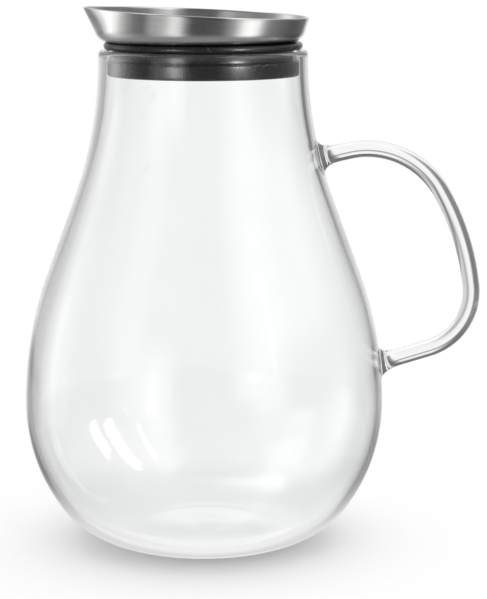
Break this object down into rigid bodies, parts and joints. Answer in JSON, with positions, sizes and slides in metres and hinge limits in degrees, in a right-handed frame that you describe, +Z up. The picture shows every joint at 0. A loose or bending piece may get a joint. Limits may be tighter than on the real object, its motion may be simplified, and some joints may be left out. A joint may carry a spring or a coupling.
{
  "type": "glass pitcher with lid",
  "caption": "Pear-shaped clear glass pitcher with a welded glass rod handle and a push-in stopper lid: spouted steel pouring dish and self-opening flap.",
  "frame": {"origin": "middle of the flat base of the jug", "axes": "+Z up along the axis of the jug, -X towards the spout, +X towards the handle"},
  "size_m": [0.1849, 0.1456, 0.2171],
  "materials": {
    "glass": "clear, fire polished",
    "silicone": "smooth black, soft sheen",
    "black_plastic": "moulded satin black",
    "brushed_steel": "fine spun brushing, bright edge",
    "plain_steel": "ground"
  },
  "bodies": {
    "jug": {"glass_body": "glass", "glass_handle": "glass"},
    "stopper": {"seal_sleeve": "silicone"},
    "spout": {"pour_dish": "brushed_steel", "stopper_core": "black_plastic", "hinge_ring": "black_plastic"},
    "flap": {"flap_disc": "brushed_steel", "flap_carrier": "black_plastic", "flap_weight": "plain_steel", "flap_axle": "plain_steel"}
  },
  "joints": [
    {"name": "lid_lift", "type": "slide", "parent": "jug", "child": "stopper", "axis": [0, 0, 1], "range_m": [0, 0.06]},
    {"name": "lid_turn", "type": "hinge", "parent": "stopper", "child": "spout", "pos_m": [0, 0, 0.2], "axis": [0, 0, 1], "continuous": true},
    {"name": "flap_swing", "type": "hinge", "parent": "spout", "child": "flap", "pos_m": [0, 0, 0.2008], "axis": [0, 1, 0], "range_deg": [0, 65]}
  ]
}
